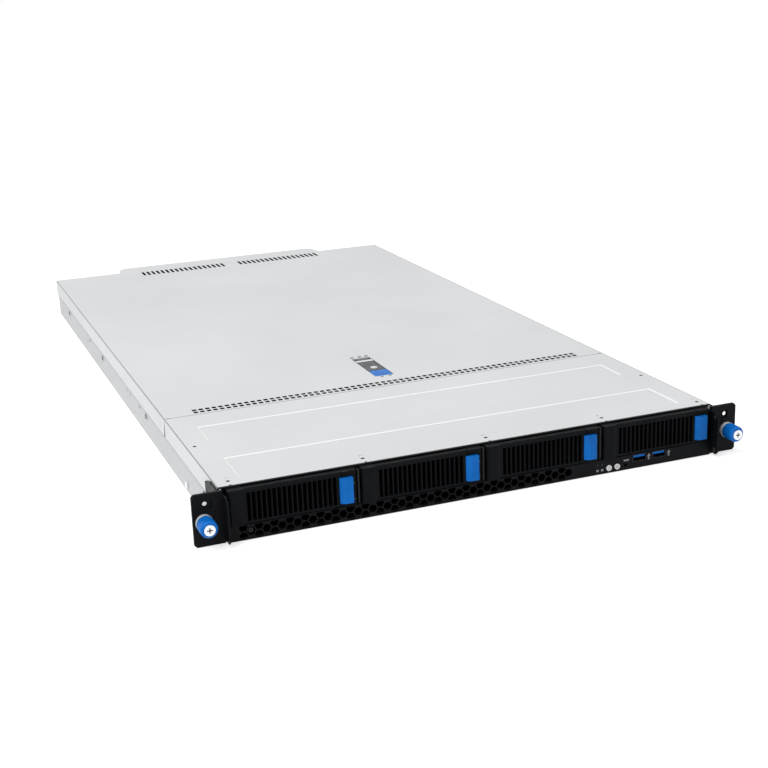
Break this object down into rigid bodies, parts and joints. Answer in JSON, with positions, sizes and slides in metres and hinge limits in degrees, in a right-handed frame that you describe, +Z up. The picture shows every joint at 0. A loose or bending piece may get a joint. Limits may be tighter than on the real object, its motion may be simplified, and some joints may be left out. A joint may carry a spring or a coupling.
{
  "type": "rack server",
  "caption": "One-unit rack server with sliding front drive trays, swing-out tray handles, captive thumbscrews, cover latch and slide-out power supplies.",
  "frame": {"origin": "on the chassis underside, at the middle of the width, in the rack-post plane behind the ears", "axes": "+X to the right seen from the front, +Y to the rear of the rack, +Z up"},
  "size_m": [0.4826, 0.8608, 0.0435],
  "materials": {
    "light_steel": "satin light grey",
    "zinc_steel": "galvanised",
    "black_steel": "satin black",
    "black_plastic": "matt black",
    "grey_plastic": "matt dark grey",
    "blue_plastic": "satin blue",
    "white_plastic": "satin white",
    "bright_metal": "bright",
    "aluminium": "satin",
    "circuit_board": "green solder mask",
    "connector_plastic": "matt black"
  },
  "bodies": {
    "chassis": {"chassis_tray": "light_steel", "rear_panel": "light_steel", "front_top_panel": "light_steel", "front_fascia": "black_steel", "drive_cage": "zinc_steel", "backplane": "circuit_board", "drive_connectors": "connector_plastic", "fan_cage": "zinc_steel", "fan_frames": "black_plastic", "motherboard": "circuit_board", "board_sockets": "connector_plastic", "dimm_modules": "circuit_board", "cpu_heatsinks": "aluminium", "air_shroud": "black_plastic", "riser_cage": "zinc_steel", "riser_cards": "circuit_board", "rear_ports": "zinc_steel", "psu_guides": "zinc_steel", "front_io_board": "circuit_board", "usb_ports": "bright_metal", "left_ear": "black_steel", "right_ear": "black_steel", "thumbscrew_collars": "bright_metal", "rail_studs": "bright_metal"},
    "cover": {"rear_cover": "light_steel", "latch_pan": "zinc_steel"},
    "cover_latch": {"latch_lever": "grey_plastic", "latch_grip": "blue_plastic"},
    "cover_lock": {"latch_lock": "bright_metal"},
    "drive_tray_1": {"tray_1": "zinc_steel", "drive_1": "aluminium"},
    "tray_handle_1": {"handle_1": "black_plastic"},
    "handle_release_1": {"release_1": "blue_plastic"},
    "drive_tray_2": {"tray_2": "zinc_steel", "drive_2": "aluminium"},
    "tray_handle_2": {"handle_2": "black_plastic"},
    "handle_release_2": {"release_2": "blue_plastic"},
    "drive_tray_3": {"tray_3": "zinc_steel", "drive_3": "aluminium"},
    "tray_handle_3": {"handle_3": "black_plastic"},
    "handle_release_3": {"release_3": "blue_plastic"},
    "drive_tray_4": {"tray_4": "zinc_steel", "drive_4": "aluminium"},
    "tray_handle_4": {"handle_4": "black_plastic"},
    "handle_release_4": {"release_4": "blue_plastic"},
    "left_rack_screw": {"left_thumbscrew": "blue_plastic"},
    "right_rack_screw": {"right_thumbscrew": "blue_plastic"},
    "power_push": {"power_button": "white_plastic"},
    "id_push": {"id_button": "white_plastic"},
    "rotor_1": {"fan_rotor_1": "black_plastic"},
    "rotor_2": {"fan_rotor_2": "black_plastic"},
    "rotor_3": {"fan_rotor_3": "black_plastic"},
    "rotor_4": {"fan_rotor_4": "black_plastic"},
    "rotor_5": {"fan_rotor_5": "black_plastic"},
    "rotor_6": {"fan_rotor_6": "black_plastic"},
    "left_supply": {"psu_left": "zinc_steel"},
    "left_supply_release": {"psu_left_release": "blue_plastic"},
    "right_supply": {"psu_right": "zinc_steel"},
    "right_supply_release": {"psu_right_release": "blue_plastic"}
  },
  "joints": [
    {"name": "cover_lift", "type": "slide", "parent": "chassis", "child": "cover", "axis": [0, 0, 1], "range_m": [0, 0.1]},
    {"name": "latch_hinge", "type": "hinge", "parent": "cover", "child": "cover_latch", "pos_m": [0.0015, 0.28, 0.0385], "axis": [-1, 0, 0], "range_deg": [0, 85]},
    {"name": "lock_turn", "type": "hinge", "parent": "cover_latch", "child": "cover_lock", "pos_m": [0.0022, 0.25, 0.042], "axis": [0, 0, 1], "range_deg": [0, 90]},
    {"name": "tray_1_slide", "type": "slide", "parent": "chassis", "child": "drive_tray_1", "axis": [0, -1, 0], "range_m": [0, 0.18]},
    {"name": "handle_1_hinge", "type": "hinge", "parent": "drive_tray_1", "child": "tray_handle_1", "pos_m": [-0.2091, -0.0006, 0.0278], "axis": [0, 0, -1], "range_deg": [0, 55]},
    {"name": "release_1_press", "type": "slide", "parent": "tray_handle_1", "child": "handle_release_1", "axis": [0, 1, 0], "range_m": [0, 0.0018], "stiffness_N_per_m": 600, "springref_m": -0.001},
    {"name": "tray_2_slide", "type": "slide", "parent": "chassis", "child": "drive_tray_2", "axis": [0, -1, 0], "range_m": [0, 0.18]},
    {"name": "handle_2_hinge", "type": "hinge", "parent": "drive_tray_2", "child": "tray_handle_2", "pos_m": [-0.1013, -0.0006, 0.0278], "axis": [0, 0, -1], "range_deg": [0, 55]},
    {"name": "release_2_press", "type": "slide", "parent": "tray_handle_2", "child": "handle_release_2", "axis": [0, 1, 0], "range_m": [0, 0.0018], "stiffness_N_per_m": 600, "springref_m": -0.001},
    {"name": "tray_3_slide", "type": "slide", "parent": "chassis", "child": "drive_tray_3", "axis": [0, -1, 0], "range_m": [0, 0.18]},
    {"name": "handle_3_hinge", "type": "hinge", "parent": "drive_tray_3", "child": "tray_handle_3", "pos_m": [0.0065, -0.0006, 0.0278], "axis": [0, 0, -1], "range_deg": [0, 55]},
    {"name": "release_3_press", "type": "slide", "parent": "tray_handle_3", "child": "handle_release_3", "axis": [0, 1, 0], "range_m": [0, 0.0018], "stiffness_N_per_m": 600, "springref_m": -0.001},
    {"name": "tray_4_slide", "type": "slide", "parent": "chassis", "child": "drive_tray_4", "axis": [0, -1, 0], "range_m": [0, 0.18]},
    {"name": "handle_4_hinge", "type": "hinge", "parent": "drive_tray_4", "child": "tray_handle_4", "pos_m": [0.1143, -0.0006, 0.0278], "axis": [0, 0, -1], "range_deg": [0, 55]},
    {"name": "release_4_press", "type": "slide", "parent": "tray_handle_4", "child": "handle_release_4", "axis": [0, 1, 0], "range_m": [0, 0.0018], "stiffness_N_per_m": 600, "springref_m": -0.001},
    {"name": "left_rack_screw_turn", "type": "hinge", "parent": "chassis", "child": "left_rack_screw", "pos_m": [-0.23255, -0.0025, 0.02], "axis": [0, 1, 0], "continuous": true},
    {"name": "right_rack_screw_turn", "type": "hinge", "parent": "chassis", "child": "right_rack_screw", "pos_m": [0.23255, -0.0025, 0.02], "axis": [0, 1, 0], "continuous": true},
    {"name": "power_button_press", "type": "slide", "parent": "chassis", "child": "power_push", "axis": [0, 1, 0], "range_m": [0, 0.001], "stiffness_N_per_m": 500, "springref_m": -0.001},
    {"name": "id_button_press", "type": "slide", "parent": "chassis", "child": "id_push", "axis": [0, 1, 0], "range_m": [0, 0.001], "stiffness_N_per_m": 500, "springref_m": -0.001},
    {"name": "fan_1_spin", "type": "hinge", "parent": "chassis", "child": "rotor_1", "pos_m": [-0.175, 0.24, 0.0222], "axis": [0, 1, 0], "continuous": true},
    {"name": "fan_2_spin", "type": "hinge", "parent": "chassis", "child": "rotor_2", "pos_m": [-0.105, 0.24, 0.0222], "axis": [0, 1, 0], "continuous": true},
    {"name": "fan_3_spin", "type": "hinge", "parent": "chassis", "child": "rotor_3", "pos_m": [-0.035, 0.24, 0.0222], "axis": [0, 1, 0], "continuous": true},
    {"name": "fan_4_spin", "type": "hinge", "parent": "chassis", "child": "rotor_4", "pos_m": [0.035, 0.24, 0.0222], "axis": [0, 1, 0], "continuous": true},
    {"name": "fan_5_spin", "type": "hinge", "parent": "chassis", "child": "rotor_5", "pos_m": [0.105, 0.24, 0.0222], "axis": [0, 1, 0], "continuous": true},
    {"name": "fan_6_spin", "type": "hinge", "parent": "chassis", "child": "rotor_6", "pos_m": [0.175, 0.24, 0.0222], "axis": [0, 1, 0], "continuous": true},
    {"name": "left_supply_slide", "type": "slide", "parent": "chassis", "child": "left_supply", "axis": [0, 1, 0], "range_m": [0, 0.2]},
    {"name": "left_supply_release_press", "type": "slide", "parent": "left_supply", "child": "left_supply_release", "axis": [-1, 0, 0], "range_m": [0, 0.0025], "stiffness_N_per_m": 800, "springref_m": -0.001},
    {"name": "right_supply_slide", "type": "slide", "parent": "chassis", "child": "right_supply", "axis": [0, 1, 0], "range_m": [0, 0.2]},
    {"name": "right_supply_release_press", "type": "slide", "parent": "right_supply", "child": "right_supply_release", "axis": [-1, 0, 0], "range_m": [0, 0.0025], "stiffness_N_per_m": 800, "springref_m": -0.001}
  ]
}
